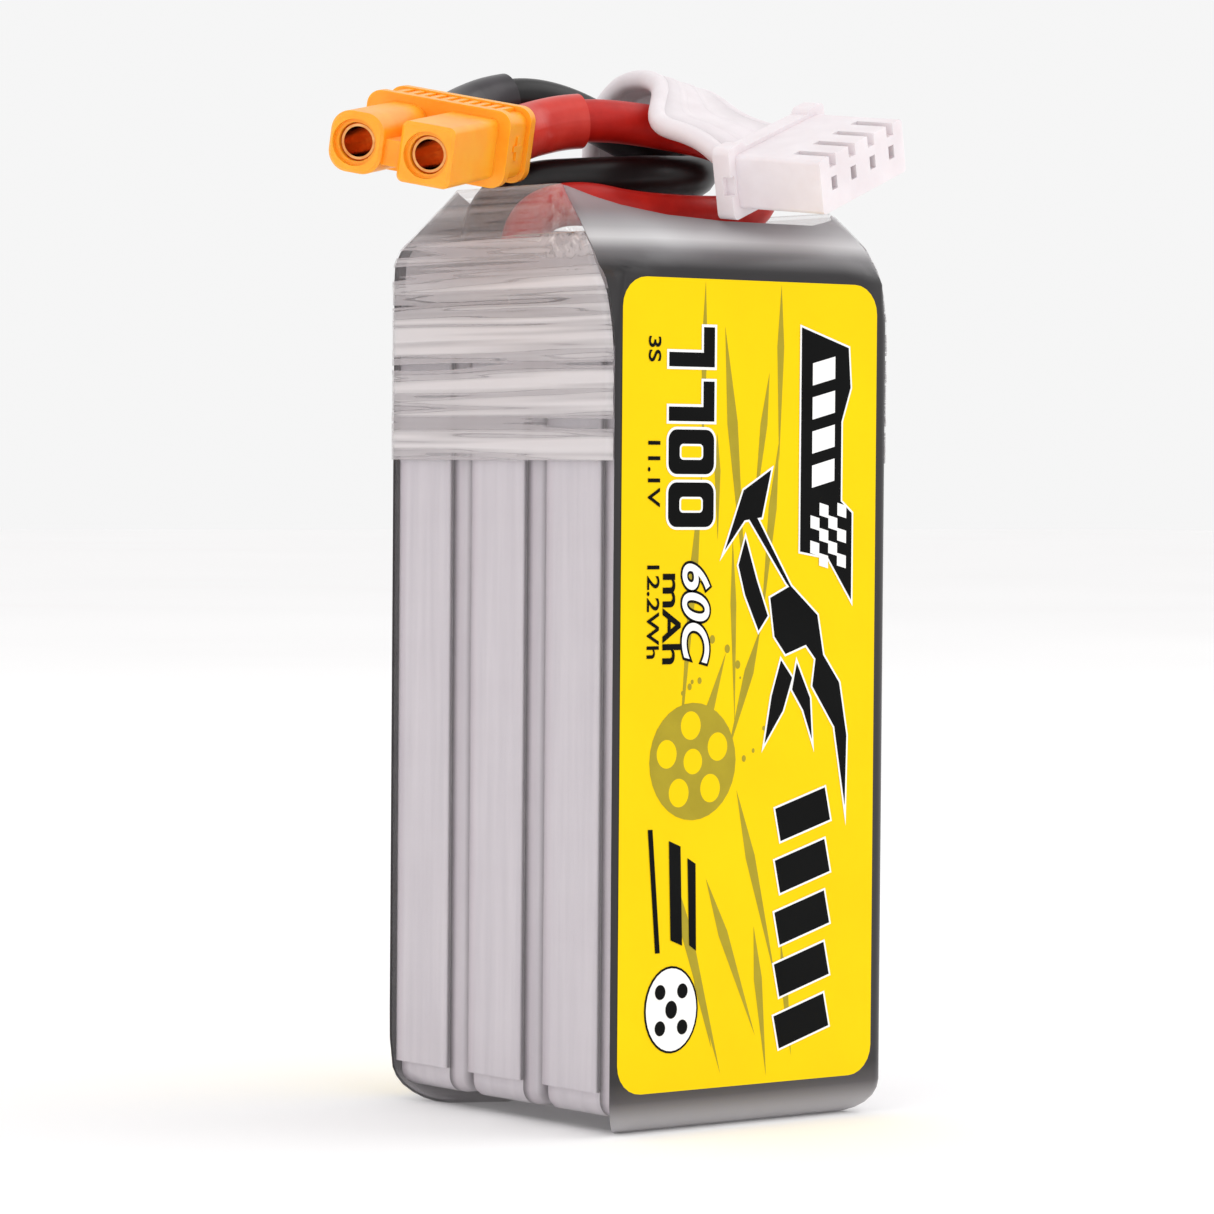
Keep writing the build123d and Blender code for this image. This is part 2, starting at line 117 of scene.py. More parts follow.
def grain(tree, shader, place, low, high, size, stretch=(1, 1, 1), bump=0.1, depth=0.05):
    """Colour that drifts between two shades over spots, with a bump; size and depth are in mm."""
    spread = add_node(tree, "ShaderNodeMapping", {}, {"Vector": place, "Scale": stretch})
    spots = add_node(tree, "ShaderNodeTexNoise", {}, {
        "Vector": spread.outputs[0], "Scale": 1 / (size * MM), "Detail": 4.0, "Roughness": 0.55})
    shades = add_node(tree, "ShaderNodeValToRGB", {}, {"Fac": spots.outputs["Fac"]})
    shades.color_ramp.elements[0].position = 0.3
    shades.color_ramp.elements[0].color = linear(low)
    shades.color_ramp.elements[1].position = 0.7
    shades.color_ramp.elements[1].color = linear(high)
    relief = add_node(tree, "ShaderNodeBump", {}, {
        "Height": spots.outputs["Fac"], "Strength": bump, "Distance": depth * MM})
    tree.links.new(shades.outputs[0], shader.inputs["Base Color"])
    tree.links.new(relief.outputs[0], shader.inputs["Normal"])
    return spots, shades


def dress(material, *names):
    """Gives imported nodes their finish."""
    for name in names:
        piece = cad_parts[name]
        piece.data.materials.clear()
        piece.data.materials.append(material)


def laid_cord(name, route, diameter, material):
    """A round cord on one smooth line through its route, closed at both ends."""
    line = bpy.data.curves.new(name, "CURVE")
    line.dimensions = "3D"
    spline = line.splines.new("NURBS")
    spline.points.add(len(route) - 1)
    for point, place in zip(spline.points, route):
        point.co = (*(Vector(place) * MM), 1)
    spline.order_u = 3
    spline.use_endpoint_u = True
    line.resolution_u = 10
    line.bevel_depth = diameter / 2 * MM
    line.bevel_resolution = 7
    line.use_fill_caps = True
    line.materials.append(material)
    piece = bpy.data.objects.new(name, line)
    bpy.context.collection.objects.link(piece)
    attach(piece, "root")
    return piece


# Silicone rubber, extruded: satin, with a faint drag along it and a little dust.
red_silicone, tree, shader, place = finish_of(
    "extruded_red_silicone", Roughness=0.4, Specular_IOR_Level=0.3)
grain(tree, shader, place, "#b0130a", "#c81f14", 1.6, bump=0.12, depth=0.03)
black_silicone, tree, shader, place = finish_of(
    "extruded_black_silicone", Roughness=0.36, Specular_IOR_Level=0.3)
grain(tree, shader, place, "#0d0b0c", "#191617", 1.6, bump=0.12, depth=0.03)
# Polyolefin heat-shrink: a shade lighter than the silicone, semi-gloss, with ripples round it.
red_shrink, tree, shader, place = finish_of(
    "shrunk_red_polyolefin", Roughness=0.3, Specular_IOR_Level=0.4)
grain(tree, shader, place, "#c2281e", "#d23a2e", 2.6, (1.4, 1, 1), 0.1, 0.06)
black_shrink, tree, shader, place = finish_of(
    "shrunk_black_polyolefin", Roughness=0.3, Specular_IOR_Level=0.4)
grain(tree, shader, place, "#262226", "#332e33", 2.6, (1.4, 1, 1), 0.1, 0.06)
dress(red_shrink, "red_lead_shrink")
dress(black_shrink, "black_lead_shrink")

red_lead = laid_cord("red_power_lead", RED_ROUTE, LEAD_DIAMETER, red_silicone)
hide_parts("red_lead")
black_lead = laid_cord("black_power_lead", BLACK_ROUTE, LEAD_DIAMETER, black_silicone)
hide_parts("black_lead")

# ---- Balance ribbon ----
# Four thin wires bonded side by side by a thin skin of the same white insulation. The ribbon
# arches over both leads and fans out into the row plug.
WIRE_DIAMETER = 1.38
WIRE_COUNT = 4
NEAR_ROUTE = [
    (2.6, 7.3, 58.2), (2.7, 7.8, 60.6), (3.1, 9.0, 63.4), (3.8, 10.3, 66.2), (4.6, 10.6, 69.1),
    (4.7, 8.5, 71.0), (4.3, 5.6, 71.4), (3.8, 2.9, 71.0), (2.7, 0.9, 70.1), (1.1, -0.8, 69.0),
    (-0.4, -2.4, 67.9), (-1.1, -4.1, 67.2), (-0.7, -5.6, 66.8), (-0.1, -6.9, 66.2), (0.3, -8.2, 65.2),
    (0.66, -9.42, 64.23),
]
FAR_ROUTE = [
    (6.9, 7.3, 58.2), (7.1, 7.9, 60.6), (7.7, 9.0, 63.3), (8.6, 10.1, 66.0), (9.3, 10.0, 68.7),
    (9.2, 8.0, 70.2), (8.7, 5.4, 70.4), (8.1, 3.0, 70.1), (7.4, 1.0, 69.6), (6.8, -0.7, 69.0),
    (6.3, -2.3, 68.4), (6.2, -3.8, 67.8), (6.4, -5.0, 67.4), (6.8, -5.9, 67.1), (7.1, -6.6, 66.9),
    (7.48, -7.43, 66.63),
]
WEB_THICKNESS = 1.25
# The skin starts clear of the solder joints and stops short of the plug, in steps of the lines.
WEB_SKIPPED_AT_BOARD, WEB_SKIPPED_AT_PLUG = 6, 3


def clear_selection():
    bpy.ops.object.select_all(action="DESELECT")


def select_only(piece):
    clear_selection()
    piece.select_set(True)
    bpy.context.view_layer.objects.active = piece


def placed(piece, name, *materials):
    """Names a finished piece, gives it its materials and lets it ride with the pack."""
    piece.name = name
    piece.data.name = name
    for material in materials:
        piece.data.materials.append(material)
    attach(piece, "root")
    return piece


# PVC insulation: nearly white with a warm grey cast, satin.
white_wire, tree, shader, place = finish_of(
    "extruded_white_pvc", Roughness=0.42, Subsurface_Weight=0.12, Subsurface_Scale=0.6 * MM)
shader.inputs["Subsurface Radius"].default_value = (1.0, 0.85, 0.85)
grain(tree, shader, place, "#e2d9dc", "#ebe3e6", 2.5, bump=0.06, depth=0.03)

centre_lines = []
wires = []
for number in range(WIRE_COUNT):
    share = number / (WIRE_COUNT - 1)
    route = [tuple(Vector(near).lerp(Vector(far), share))
             for near, far in zip(NEAR_ROUTE, FAR_ROUTE)]
    wire = laid_cord(f"balance_lead_{number + 1}", route, WIRE_DIAMETER, white_wire)
    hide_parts(f"balance_wire_{number + 1}")
    wires.append(wire)
    bare = wire.copy()
    bare.data = wire.data.copy()
    bare.data.bevel_depth = 0
    bpy.context.collection.objects.link(bare)
    line = bpy.data.meshes.new_from_object(bare)
    centre_lines.append([vertex.co.copy() for vertex in line.vertices])
    bpy.data.objects.remove(bare)

web_steps = range(WEB_SKIPPED_AT_BOARD, len(centre_lines[0]) - WEB_SKIPPED_AT_PLUG)
clear_selection()
bpy.ops.mesh.primitive_grid_add(
    x_subdivisions=len(web_steps) - 1, y_subdivisions=WIRE_COUNT - 1, size=1)
web = bpy.context.object
for vertex in web.data.vertices:
    column = round((vertex.co.x + 0.5) * (len(web_steps) - 1))
    row = round((vertex.co.y + 0.5) * (WIRE_COUNT - 1))
    vertex.co = centre_lines[row][web_steps[column]]
bpy.ops.object.modifier_add(type="SOLIDIFY")
web.modifiers[0].thickness = WEB_THICKNESS * MM
web.modifiers[0].offset = 0
bpy.ops.object.modifier_apply(modifier=web.modifiers[0].name)
bpy.ops.object.shade_smooth()
placed(web, "balance_lead_web", white_wire)

# ---- Plugs ----
# Both housings are injection moulded nylon. The amber one holds two turned, gold-plated sockets,
# and the white one four tin-plated terminals.
amber_nylon, tree, shader, place = finish_of(
    "moulded_amber_nylon", Roughness=0.36, Subsurface_Weight=0.25, Subsurface_Scale=1.2 * MM)
shader.inputs["Subsurface Radius"].default_value = (1.0, 0.5, 0.15)
grain(tree, shader, place, "#ff9c0c", "#ffb02a", 3.0, bump=0.05, depth=0.03)
gold, tree, shader, place = finish_of("gold_plated_brass", Metallic=1.0, Roughness=0.16)
grain(tree, shader, place, "#d98a4a", "#edb070", 0.5, (1, 1, 1), 0.08, 0.02)
white_nylon, tree, shader, place = finish_of(
    "moulded_white_nylon", Roughness=0.44, Subsurface_Weight=0.25, Subsurface_Scale=1.0 * MM)
shader.inputs["Subsurface Radius"].default_value = (1.0, 0.85, 0.8)
grain(tree, shader, place, "#e3d9dc", "#ece4e7", 3.0, bump=0.05, depth=0.03)
tin, tree, shader, place = finish_of("tin_plated_bronze", Metallic=1.0, Roughness=0.25)
grain(tree, shader, place, "#a9a7a6", "#cfcdca", 0.4, (1, 1, 1), 0.1, 0.02)
dress(amber_nylon, "power_plug_housing")
dress(gold, "power_contact_positive", "power_contact_negative")
dress(white_nylon, "balance_plug_housing")
dress(tin, "balance_plug_contacts", "board_solder_joints")

# ---- Pouch cells ----
# Aluminium laminate pouches with a nylon face: satin silver with a pink-grey cast. The side seals
# are folded round and pressed flat, which leaves long faint draws up and down.
CELL_PITCH = 8.3
pouch, tree, shader, place = finish_of("aluminium_laminate_pouch", Metallic=0.3, Roughness=0.36)
foil = grain(tree, shader, place, "#c3bcc2", "#cfc8cd", 1.3, (1, 1.6, 0.07), 0.12, 0.05)[1]
# Painted shade and painted highlight: across each cell's pitch the seals are bright, and each gap gets
# a dark line and light columns.
across = add_node(tree, "ShaderNodeSeparateXYZ", {}, {"Vector": place}).outputs["Y"]
turns = add_node(tree, "ShaderNodeMath", {"operation": "MULTIPLY_ADD"}, {
    0: across, 1: 1 / (CELL_PITCH * MM), 2: 0.5})
within = add_node(tree, "ShaderNodeMath", {"operation": "FLOORED_MODULO"}, {
    0: turns.outputs[0], 1: 1.0})
shade = add_node(tree, "ShaderNodeValToRGB", {}, {"Fac": within.outputs[0]})
ramp = shade.color_ramp.elements
ramp[0].position, ramp[0].color = 0.0, linear("#7d777b")
ramp[1].position, ramp[1].color = 1.0, linear("#7d777b")
# Painted highlight (the white stops) and painted shade (the dark stops) across the pitch.
for spot, code in (
    (0.03, "#aaa4a8"), (0.08, "#ffffff"), (0.14, "#ece8ea"), (0.19, "#9c969a"), (0.219, "#5b5558"),
    (0.228, "#ffffff"), (0.8, "#ffffff"), (0.86, "#f4f0f2"), (0.93, "#cfcacd"), (0.975, "#8f898c"),
):
    stop = ramp.new(spot)
    stop.color = linear(code)
blend = add_node(
    tree, "ShaderNodeMix", {"data_type": "RGBA", "blend_type": "MULTIPLY"}, {"Factor": 1.0})
tree.links.new(foil.outputs[0], blend.inputs[6])
tree.links.new(shade.outputs[0], blend.inputs[7])
tree.links.new(blend.outputs[2], shader.inputs["Base Color"])
for number in (1, 2, 3):
    dress(pouch, f"cell_{number}_cup", f"cell_{number}_cover")
electrode, tree, shader, place = finish_of("coated_electrode_foil", Metallic=0.6, Roughness=0.5)
grain(tree, shader, place, "#3a393b", "#4c4b4d", 0.6, (1, 6, 1))
nickel, tree, shader, place = finish_of("rolled_nickel_strip", Metallic=1.0, Roughness=0.3)
grain(tree, shader, place, "#b9b5ae", "#cdc9c2", 0.4, (4, 1, 1), 0.1, 0.02)
for number in (1, 2, 3):
    dress(electrode, f"cell_{number}_electrode_stack")
    dress(nickel, f"cell_{number}_positive_tab", f"cell_{number}_negative_tab")
dress(nickel, "series_link_1", "series_link_2")

# ---- Board and tape ----
# A green glass-epoxy board joins the cells' tabs, and a scrap of amber polyimide tape holds the
# leads down on the card above it.
board, tree, shader, place = finish_of("green_solder_mask", Roughness=0.3)
grain(tree, shader, place, "#0d3a24", "#14492e", 1.5)
tape, tree, shader, place = finish_of("polyimide_tape", Roughness=0.2)
grain(tree, shader, place, "#8a5a1c", "#a8722a", 1.0, bump=0.3, depth=0.1)
dress(board, "balance_board")
dress(tape, "insulation_tape")

# ---- Shrink sleeve ----
# One PVC tube shrunk over the stack. It is printed dark on its two broad faces and left clear over
# the cells' folded edges, rolls in under the base, and pulls in over the shoulders at the top.
SLEEVE_HALF = (12.1, 12.6)
SLEEVE_CORNER = 1.0
FILM = 0.16
BASE_ROLL = 2.3
RIM_Z = 62.9
PULL_FROM_Z = 52.0
# The base's first ring: its height, and its shares of the sleeve's width and depth.
BASE_OPENING = (0.12, 0.52, 0.55)
WALL_RINGS, WALL_STEP = 24, 2
SHOULDER_RINGS = 22
SIDE_CUTS = 13
# Above this height each front corner's pull takes in more of the face, over the next few mm.
CORNER_WIDENS_Z, CORNER_WIDENS_OVER = 56.6, 2.4
NEAR_CORNER_FROM, NEAR_CORNER_WIDENS = 11.3, 4.3
FAR_CORNER_FROM, FAR_CORNER_WIDENS = 11.1, 3.1
# How far the film has drawn in from its straight wall, by height, all in mm.
NEAR_CORNER_PULL = (
    (52.0, 0.0), (53.5, 0.25), (55.5, 0.95), (58.5, 2.6), (60.6, 4.4), (62.2, 5.9), (62.9, 6.5))
FACE_PULL = (
    (57.0, 0.0), (57.8, 0.15), (58.6, 0.6), (59.4, 1.4), (60.2, 2.5), (61.0, 3.9), (62.9, 7.6))
FAR_CORNER_PULL = (
    (54.0, 0.0), (56.0, 0.4), (57.7, 1.0), (59.2, 2.1), (60.3, 3.5), (61.1, 4.6), (62.9, 7.4))
REAR_PULL = ((58.0, 0.0), (58.9, 0.6), (62.9, 6.9))
SIDE_PULL = ((57.0, 0.0), (59.4, 0.15), (62.9, 0.5))
BASE_PULL = ((0.0, 1.9), (1.0, 1.0), (2.3, 0.4), (4.5, 0.0))
# The height of the rim along the sleeve's width.
RIM_CUT = (
    (-12.1, 62.9), (-10.5, 62.4), (-8.0, 61.6), (-5.0, 61.0),
    (0.0, 60.7), (8.0, 60.7), (11.0, 61.2), (12.1, 61.8))


def along(table, x):
    """Reads a value between the rows of a table."""
    if x <= table[0][0]:
        return table[0][1]
    for low, high in zip(table, table[1:]):
        if x <= high[0]:
            return low[1] + (high[1] - low[1]) * (x - low[0]) / (high[0] - low[0])
    return table[-1][1]


def eased(x):
    """A soft step from 0 to 1."""
    x = max(0.0, min(1.0, x))
    return x * x * (3 - 2 * x)


def drawn_in(x, y, z):
    """Where a place on the straight wall ends up once the film has shrunk over the shoulders."""
    if z > PULL_FROM_Z:
        cut = along(RIM_CUT, x)
        z = PULL_FROM_Z + (z - PULL_FROM_Z) * (cut - PULL_FROM_Z) / (RIM_Z - PULL_FROM_Z)
    wider = eased((z - CORNER_WIDENS_Z) / CORNER_WIDENS_OVER)
    near_from = NEAR_CORNER_FROM - NEAR_CORNER_WIDENS * wider
    far_from = FAR_CORNER_FROM - FAR_CORNER_WIDENS * wider
    near = eased((-x - near_from) / (SLEEVE_HALF[0] - near_from))
    far = eased((x - far_from) / (SLEEVE_HALF[0] - far_from))
    front = (along(NEAR_CORNER_PULL, z) * near + along(FAR_CORNER_PULL, z) * far
             + along(FACE_PULL, z) * (1 - near - far))
    pull = front if y < 0 else along(REAR_PULL, z) + along(BASE_PULL, z)
    narrowed = 1 - along(SIDE_PULL, z) / SLEEVE_HALF[0]
    return Vector((x * narrowed, y * (1 - pull / SLEEVE_HALF[1]), z)) * MM


clear_selection()
bpy.ops.mesh.primitive_plane_add(size=2)
sleeve = bpy.context.object
bpy.ops.object.mode_set(mode="EDIT")
bpy.ops.mesh.select_mode(type="VERT")
bpy.ops.mesh.select_all(action="SELECT")
bpy.ops.transform.resize(value=(SLEEVE_HALF[0] * MM, SLEEVE_HALF[1] * MM, 1))
bpy.ops.mesh.bevel(affect="VERTICES", offset=SLEEVE_CORNER * MM, segments=6)
bpy.ops.mesh.select_mode(type="EDGE")
bpy.ops.mesh.select_all(action="DESELECT")
bpy.ops.object.mode_set(mode="OBJECT")
for edge in sleeve.data.edges:
    ends = [sleeve.data.vertices[end].co for end in edge.vertices]
    edge.select = (ends[0] - ends[1]).length > 2 * MM
bpy.ops.object.mode_set(mode="EDIT")
bpy.ops.mesh.subdivide(number_cuts=SIDE_CUTS)
bpy.ops.mesh.select_all(action="SELECT")
bpy.ops.mesh.delete(type="ONLY_FACE")
bpy.ops.mesh.select_all(action="SELECT")
# The base starts at its open middle and rolls out and up to the wall.
rings = [BASE_OPENING]
for step in range(7):
    angle = math.radians(15 * step)
    inset = BASE_ROLL * (1 - math.sin(angle))
    rings.append((
        BASE_ROLL * (1 - math.cos(angle)), 1 - inset / SLEEVE_HALF[0], 1 - inset / SLEEVE_HALF[1]))
rings += [(BASE_ROLL + WALL_STEP * ring, 1, 1) for ring in range(1, WALL_RINGS + 1)]
rings += [(PULL_FROM_Z + (RIM_Z - PULL_FROM_Z) * ring / SHOULDER_RINGS, 1, 1)
          for ring in range(SHOULDER_RINGS + 1)]
height, width, depth = rings[0]
bpy.ops.transform.translate(value=(0, 0, height * MM))
bpy.ops.transform.resize(value=(width, depth, 1), center_override=(0, 0, 0))
for next_height, next_width, next_depth in rings[1:]:
    bpy.ops.mesh.extrude_edges_move(
        TRANSFORM_OT_translate={"value": (0, 0, (next_height - height) * MM)})
    bpy.ops.transform.resize(
        value=(next_width / width, next_depth / depth, 1), center_override=(0, 0, 0))
    height, width, depth = next_height, next_width, next_depth
bpy.ops.mesh.select_all(action="SELECT")
bpy.ops.mesh.normals_make_consistent(inside=False)
bpy.ops.object.mode_set(mode="OBJECT")

# Printed PVC film: near-black ink under a gloss face. Its colour is painted light in a band over the
# shoulder and where it rolls under the base, as painted highlight; the leads show through its last
# millimetres.
INK_SCALE_TOP = 64
FADE_Z = (59.8, 61.6)
printed_film, tree, shader, place = finish_of(
    "printed_pvc_film", Roughness=0.34, Specular_IOR_Level=0.45)
drift = grain(tree, shader, place, "#1c191b", "#242022", 6.0, (1, 1, 0.3), 0.06, 0.1)[1]
film_height = add_node(tree, "ShaderNodeSeparateXYZ", {}, {"Vector": place}).outputs["Z"]
height_share = add_node(tree, "ShaderNodeMapRange", {}, {
    "Value": film_height, "From Min": 0.0, "From Max": INK_SCALE_TOP * MM})
painted_highlight_by_height = add_node(tree, "ShaderNodeValToRGB", {}, {"Fac": height_share.outputs[0]})
ramp = painted_highlight_by_height.color_ramp.elements
ramp[0].position, ramp[0].color = 0.0, linear("#b5b2b4")
ramp[1].position, ramp[1].color = 1.0, linear("#a39c9f")
# Painted highlight bands low down and over the shoulder, with the dark ink between them.
for z, code in (
    (1.1, "#9a9799"), (2.3, "#4a4648"), (3.6, "#221f21"), (57.2, "#1f1c1e"), (58.4, "#6f6c6e"),
    (59.3, "#c9c7c8"), (60.0, "#a5a2a4"), (61.2, "#8b8487"),
):
    stop = ramp.new(z / INK_SCALE_TOP)
    stop.color = linear(code)
blend = add_node(
    tree, "ShaderNodeMix", {"data_type": "RGBA", "blend_type": "LIGHTEN"}, {"Factor": 1.0})
tree.links.new(drift.outputs[0], blend.inputs[6])
tree.links.new(painted_highlight_by_height.outputs[0], blend.inputs[7])
tree.links.new(blend.outputs[2], shader.inputs["Base Color"])
fade = add_node(tree, "ShaderNodeMapRange", {"interpolation_type": "SMOOTHSTEP"}, {
    "Value": film_height, "From Min": FADE_Z[0] * MM, "From Max": FADE_Z[1] * MM,
    "To Min": 1.0, "To Max": 0.6})
tree.links.new(fade.outputs[0], shader.inputs["Alpha"])
# Clear PVC film: barely there, a cool gloss with a slight milky pull.
clear_film, tree, shader, place = finish_of("clear_pvc_film", Roughness=0.12, Alpha=0.06)
grain(tree, shader, place, "#dcd6da", "#ebe7e9", 4.0, (1, 0.3, 1.6), 0.3, 0.2)

placed(sleeve, "sleeve_film", printed_film, clear_film)
for face in sleeve.data.polygons:
    centre = face.center / MM
    if centre.z < BASE_ROLL:
        beside = abs(centre.x) / SLEEVE_HALF[0] > abs(centre.y) / SLEEVE_HALF[1]
    else:
        beside = abs(face.normal.x) > 0.7
    face.material_index = 1 if beside else 0
for vertex in sleeve.data.vertices:
    vertex.co = drawn_in(*(vertex.co / MM))
select_only(sleeve)
bpy.ops.object.modifier_add(type="SOLIDIFY")
sleeve.modifiers[0].thickness = FILM * MM
sleeve.modifiers[0].offset = -1
bpy.ops.object.modifier_apply(modifier=sleeve.modifiers[0].name)
bpy.ops.object.shade_smooth_by_angle(angle=math.radians(50))
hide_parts("shrink_sleeve")

# ---- Card cap ----
# Pale fish-paper folded down over the board's corners, with its edges pressed in by the film.
CAP_WIDTH, CAP_DEPTH = 22.6, 23.4
CAP_FOOT_Z, CAP_TOP_Z = 55.9, 59.6
CAP_CUTS = 14
CARD = 0.4
CARD_EDGE = 0.3
card, tree, shader, place = finish_of("pale_fish_paper", Roughness=0.75)
grain(tree, shader, place, "#c2b9bc", "#d2cacc", 0.8, (1, 1, 1), 0.2, 0.05)
dress(card, "cell_pad_1", "cell_pad_2")
clear_selection()
bpy.ops.mesh.primitive_cube_add(size=1)
cap = bpy.context.object
bpy.ops.object.mode_set(mode="EDIT")
bpy.ops.mesh.select_mode(type="FACE")
bpy.ops.mesh.select_all(action="SELECT")
bpy.ops.transform.resize(value=(CAP_WIDTH * MM, CAP_DEPTH * MM, (CAP_TOP_Z - CAP_FOOT_Z) * MM))
bpy.ops.transform.translate(value=(0, 0, (CAP_TOP_Z + CAP_FOOT_Z) / 2 * MM))
bpy.ops.object.mode_set(mode="OBJECT")
for face in cap.data.polygons:
    face.select = face.normal.z < -0.5
bpy.ops.object.mode_set(mode="EDIT")
bpy.ops.mesh.delete(type="FACE")
bpy.ops.mesh.select_all(action="SELECT")
bpy.ops.mesh.subdivide(number_cuts=CAP_CUTS)
bpy.ops.object.mode_set(mode="OBJECT")
for vertex in cap.data.vertices:
    vertex.co = drawn_in(*(vertex.co / MM))
bpy.ops.object.modifier_add(type="SOLIDIFY")
cap.modifiers[0].thickness = CARD * MM
cap.modifiers[0].offset = -1
bpy.ops.object.modifier_apply(modifier=cap.modifiers[0].name)
bpy.ops.object.modifier_add(type="BEVEL")
cap.modifiers[0].width = CARD_EDGE * MM
cap.modifiers[0].segments = 2
bpy.ops.object.modifier_apply(modifier=cap.modifiers[0].name)
bpy.ops.object.shade_smooth_by_angle(angle=math.radians(40))
placed(cap, "card_cap", card)
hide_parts("top_insulator")

# ---- Second wrap ----
# A short clear tube shrunk over the top of the sleeve. It has puckered into level ridges that
# It has puckered into level ridges that blur what is behind them; along the ridges it is painted milky
# and lighter, partly its own haze and partly painted highlight.
WRAP_BASE_Z = 44.5
WRAP_PROUD = 0.03
RIDGE_DEPTH = 0.08
RIDGE_LIMITS = (-0.01, 0.04)
WRAP_FILM = 0.05
WRAP_EDGE = 0.3
EDGE_TUCK = 0.45
wrap_film, tree, shader, place = finish_of("puckered_clear_film", Roughness=0.22)
level_spots = add_node(tree, "ShaderNodeMapping", {}, {"Vector": place, "Scale": (0.05, 0.02, 1)})
ridges = add_node(tree, "ShaderNodeTexNoise", {}, {
    "Vector": level_spots.outputs[0], "Scale": 1 / (1.25 * MM), "Detail": 2.0, "Roughness": 0.6})
crumples = add_node(tree, "ShaderNodeTexNoise", {}, {
    "Vector": place, "Scale": 1 / (1.1 * MM), "Detail": 3.0, "Roughness": 0.6, "Distortion": 1.2})
# The film is crumpled in one spot, by the corner where the leads come out.
CRUMPLE = (-12, -7.6, 61.2)
offset = add_node(tree, "ShaderNodeVectorMath", {"operation": "SUBTRACT"}, {
    0: place, 1: tuple(value * MM for value in CRUMPLE)})
away = add_node(tree, "ShaderNodeVectorMath", {"operation": "LENGTH"}, {0: offset.outputs[0]})
patch = add_node(tree, "ShaderNodeMapRange", {"interpolation_type": "SMOOTHSTEP"}, {
    "Value": away.outputs["Value"], "From Min": 1.5 * MM, "From Max": 4.5 * MM,
    "To Min": 0.85, "To Max": 0.0})
creases = add_node(tree, "ShaderNodeMix", {"data_type": "FLOAT"}, {
    "Factor": patch.outputs[0], 2: ridges.outputs["Fac"], 3: crumples.outputs["Fac"]})
haze_and_painted_sheen = add_node(tree, "ShaderNodeValToRGB", {}, {"Fac": creases.outputs[0]})
ramp = haze_and_painted_sheen.color_ramp.elements
ramp[0].position, ramp[0].color = 0.36, (0.06, 0.06, 0.06, 1)
ramp[1].position, ramp[1].color = 0.68, (0.7, 0.7, 0.7, 1)
# Milky bands on the ridges: partly the film's own haze, partly painted highlight.
for spot, milk_and_sheen in (
    (0.405, 0.06), (0.425, 0.46), (0.486, 0.44), (0.497, 0.1),
    (0.508, 0.46), (0.56, 0.5), (0.568, 0.2), (0.576, 0.55),
):
    stop = ramp.new(spot)
    stop.color = (milk_and_sheen, milk_and_sheen, milk_and_sheen, 1)
# It lies closest, and so looks clearest, over the leads.
film_height = add_node(tree, "ShaderNodeSeparateXYZ", {}, {"Vector": place}).outputs["Z"]
close = add_node(tree, "ShaderNodeMapRange", {"interpolation_type": "SMOOTHSTEP"}, {
    "Value": film_height, "From Min": 59.2 * MM, "From Max": 60.0 * MM,
    "To Min": 1.0, "To Max": 0.3})
cover = add_node(tree, "ShaderNodeMath", {"operation": "MULTIPLY"}, {
    0: haze_and_painted_sheen.outputs[0], 1: close.outputs[0]})
tree.links.new(cover.outputs[0], shader.inputs["Alpha"])
# Lighter on the ridges than between them: painted highlight and shade over the film's own tint.
tint = add_node(tree, "ShaderNodeValToRGB", {}, {"Fac": creases.outputs[0]})
ramp = tint.color_ramp.elements
ramp[0].position, ramp[0].color = 0.36, linear("#bdb5b8")
ramp[1].position, ramp[1].color = 0.66, linear("#e9e3e4")
stop = ramp.new(0.5)
stop.color = linear("#cfc8ca")
tree.links.new(tint.outputs[0], shader.inputs["Base Color"])
pucker = add_node(tree, "ShaderNodeBump", {}, {
    "Height": creases.outputs[0], "Strength": 0.35, "Distance": 0.4 * MM})
tree.links.new(pucker.outputs[0], shader.inputs["Normal"])

WRAP_ROWS, WRAP_COLUMNS = 120, 36
for side, name in ((-1, "left"), (1, "right")):
    clear_selection()
    bpy.ops.mesh.primitive_grid_add(
        x_subdivisions=WRAP_COLUMNS, y_subdivisions=WRAP_ROWS, size=1)
    wrap = bpy.context.object
    for vertex in wrap.data.vertices:
        y = -side * vertex.co.x * 2 * (SLEEVE_HALF[1] - WRAP_EDGE)
        run = WRAP_BASE_Z + (vertex.co.y + 0.5) * (RIM_Z - WRAP_BASE_Z)
        long_ridge = noise.noise((side * 9, y * 0.035, run * 0.8))
        ridge = long_ridge + 0.5 * noise.noise((y * 0.09, side, run * 1.7))
        raised = max(RIDGE_LIMITS[0], min(RIDGE_LIMITS[1], ridge * RIDGE_DEPTH))
        bend = max(0.0, abs(y) - (SLEEVE_HALF[1] - SLEEVE_CORNER))
        proud = SLEEVE_HALF[0] + WRAP_PROUD + raised - bend * bend * EDGE_TUCK
        vertex.co = drawn_in(side * proud, y, run)
    bpy.ops.object.modifier_add(type="SOLIDIFY")
    wrap.modifiers[0].thickness = WRAP_FILM * MM
    wrap.modifiers[0].offset = 0
    bpy.ops.object.modifier_apply(modifier=wrap.modifiers[0].name)
    bpy.ops.object.shade_smooth()
    placed(wrap, f"second_wrap_{name}", wrap_film)
    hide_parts(f"upper_wrap_{name}")

